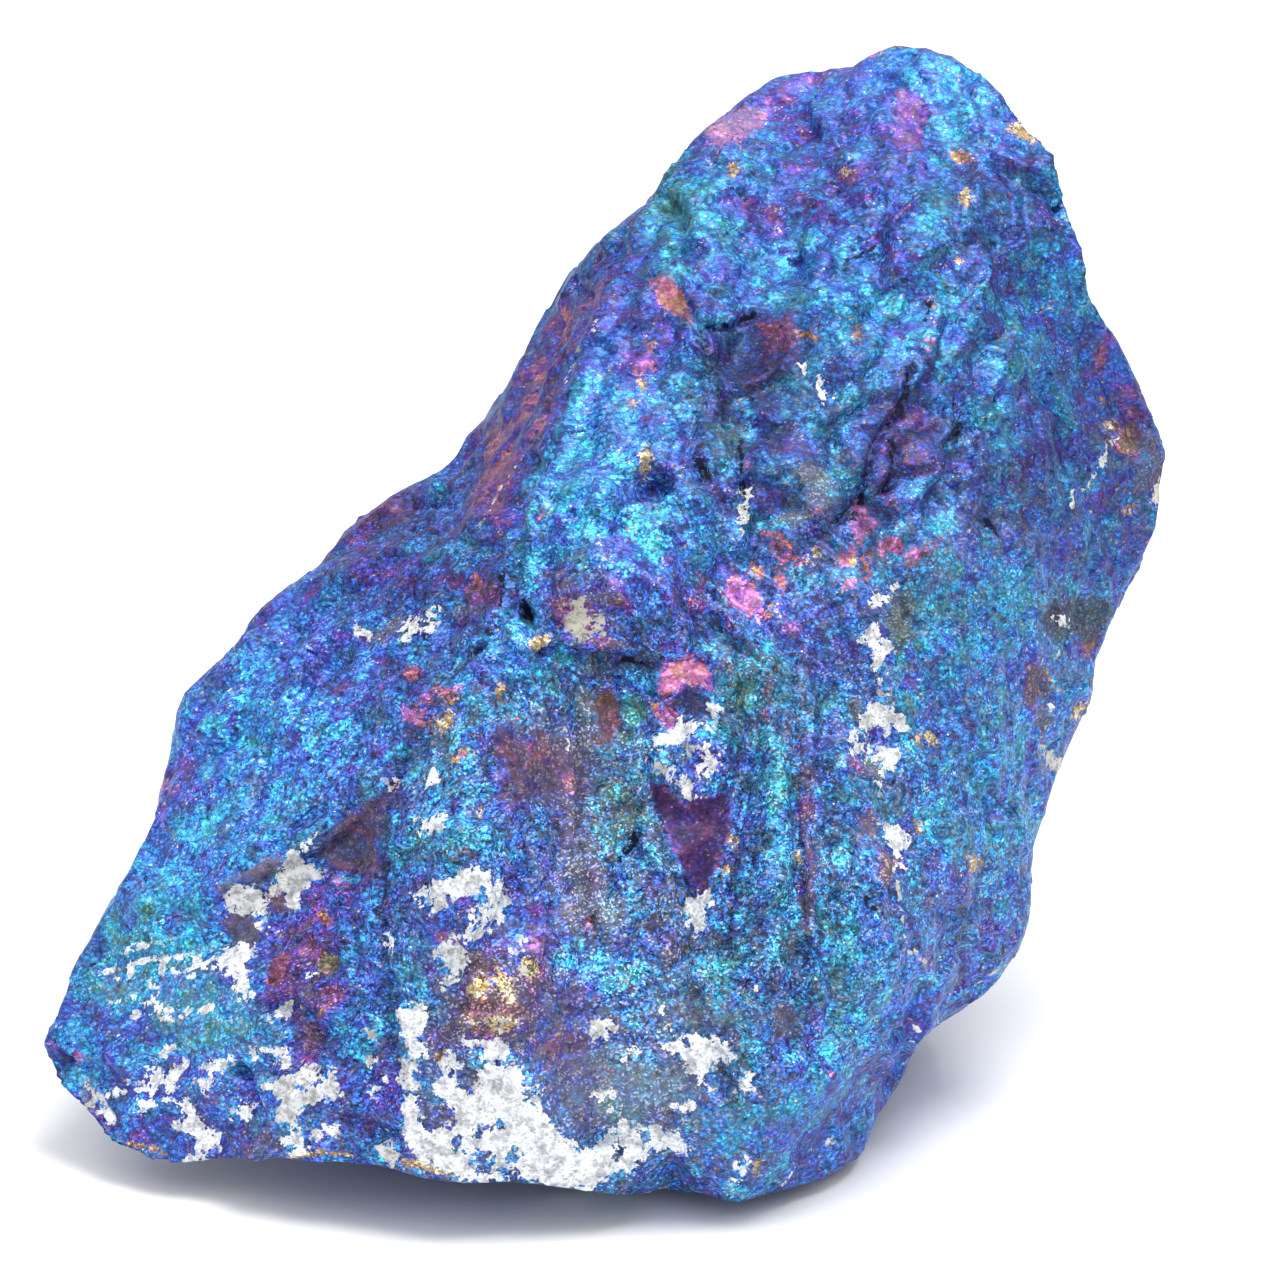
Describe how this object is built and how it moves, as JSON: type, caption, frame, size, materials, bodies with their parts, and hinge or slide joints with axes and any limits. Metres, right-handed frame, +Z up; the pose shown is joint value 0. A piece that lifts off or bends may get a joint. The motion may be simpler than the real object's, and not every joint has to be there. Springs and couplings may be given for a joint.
{
  "type": "peacock ore specimen",
  "caption": "Broken lump of tarnished chalcopyrite with a broad leaning face, a low toe on one side and a small flat spot it stands on.",
  "frame": {"origin": "middle of the bottom of the bounding box, on the surface that the lump stands on", "axes": "+Z up as the lump stands, +X to the right of the broad face, +Y away from the broad face"},
  "size_m": [0.1146, 0.0978, 0.1005],
  "materials": {
    "tarnished_ore": "broken metallic ore with a blue, cyan and violet tarnish film, teal, magenta and gold areas and patches of white crust"
  },
  "bodies": {
    "root": {"ore_lump": "tarnished_ore"}
  },
  "joints": []
}
